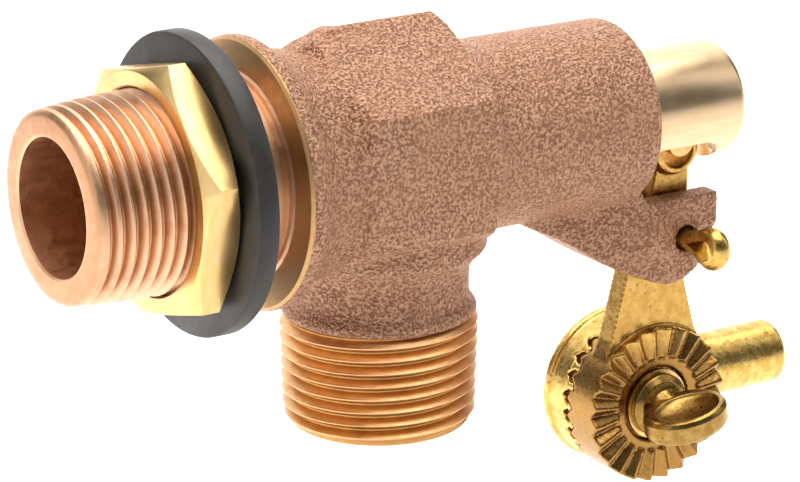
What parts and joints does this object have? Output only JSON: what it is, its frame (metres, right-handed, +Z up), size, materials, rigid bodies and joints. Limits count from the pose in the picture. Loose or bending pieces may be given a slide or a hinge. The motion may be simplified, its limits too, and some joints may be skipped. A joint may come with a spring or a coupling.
{
  "type": "float valve",
  "caption": "Bronze tank float valve: threaded inlet with lock nut and gasket, outlet pointing down, sliding plunger, lever with toothed joint, thumb screw and float rod socket.",
  "frame": {"origin": "centre of the tank wall flange's machined face, on the inlet's axis", "axes": "+X from the inlet towards the plunger and float arm, +Z up, so the outlet points along -Z; -Y is the side with the thumb screw"},
  "size_m": [0.1224, 0.04, 0.0758],
  "materials": {
    "cast_bronze": "sand-cast bronze with a fine grain, machined copper-coloured threads",
    "machined_brass": "turned brass",
    "plunger_brass": "drawn bar, satin, with fine lengthwise marks",
    "nut_brass": "machined, satin",
    "cast_brass": "cast brass, tumbled, slightly pitted",
    "pin_brass": "bright, slightly pitted",
    "black_rubber": "matte black rubber"
  },
  "bodies": {
    "casting": {"valve_body": "cast_bronze", "valve_seat": "machined_brass", "fulcrum_cotter": "pin_brass"},
    "plunger_group": {"plunger": "plunger_brass", "seat_disc": "black_rubber", "seat_washer": "machined_brass", "seat_screw": "machined_brass", "plunger_oring": "black_rubber", "link_pin": "machined_brass"},
    "lever_arm": {"lever": "cast_brass"},
    "rod_arm": {"float_arm": "cast_brass"},
    "screw_washer": {"clamp_washer": "machined_brass"},
    "clamp_screw": {"thumb_screw": "pin_brass"},
    "gasket_ring": {"tank_gasket": "black_rubber"},
    "wall_nut": {"lock_nut": "nut_brass"}
  },
  "joints": [
    {"name": "lever_pivot", "type": "hinge", "parent": "casting", "child": "lever_arm", "pos_m": [0.0696, 0, -0.0195], "axis": [0, -1, 0], "range_deg": [0, 20]},
    {"name": "plunger_slide", "type": "slide", "parent": "casting", "child": "plunger_group", "axis": [-1, 0, 0], "range_m": [0, 0.0055]},
    {"name": "arm_index", "type": "hinge", "parent": "lever_arm", "child": "rod_arm", "pos_m": [0.0669, 0, -0.0444], "axis": [0, -1, 0], "range_deg": [-225, 45]},
    {"name": "clamp_travel", "type": "slide", "parent": "rod_arm", "child": "screw_washer", "axis": [0, -1, 0], "range_m": [0, 0.00254]},
    {"name": "thumb_screw_turn", "type": "hinge", "parent": "screw_washer", "child": "clamp_screw", "pos_m": [0.0669, 0, -0.0444], "axis": [0, -1, 0], "range_deg": [0, 721]},
    {"name": "gasket_slide", "type": "slide", "parent": "casting", "child": "gasket_ring", "axis": [1, 0, 0], "range_m": [-0.0121, 0.0055]},
    {"name": "nut_turn", "type": "hinge", "parent": "gasket_ring", "child": "wall_nut", "pos_m": [-0.012, 0, 0], "axis": [1, 0, 0], "range_deg": [-2381, 1071]}
  ],
  "couplings": [
    {"joint": "plunger_slide", "follows": "lever_pivot", "m_per_rad": 0.01547},
    {"joint": "thumb_screw_turn", "follows": "clamp_travel", "rad_per_m": 4947.4},
    {"joint": "gasket_slide", "follows": "nut_turn", "m_per_rad": 0.00028875}
  ]
}
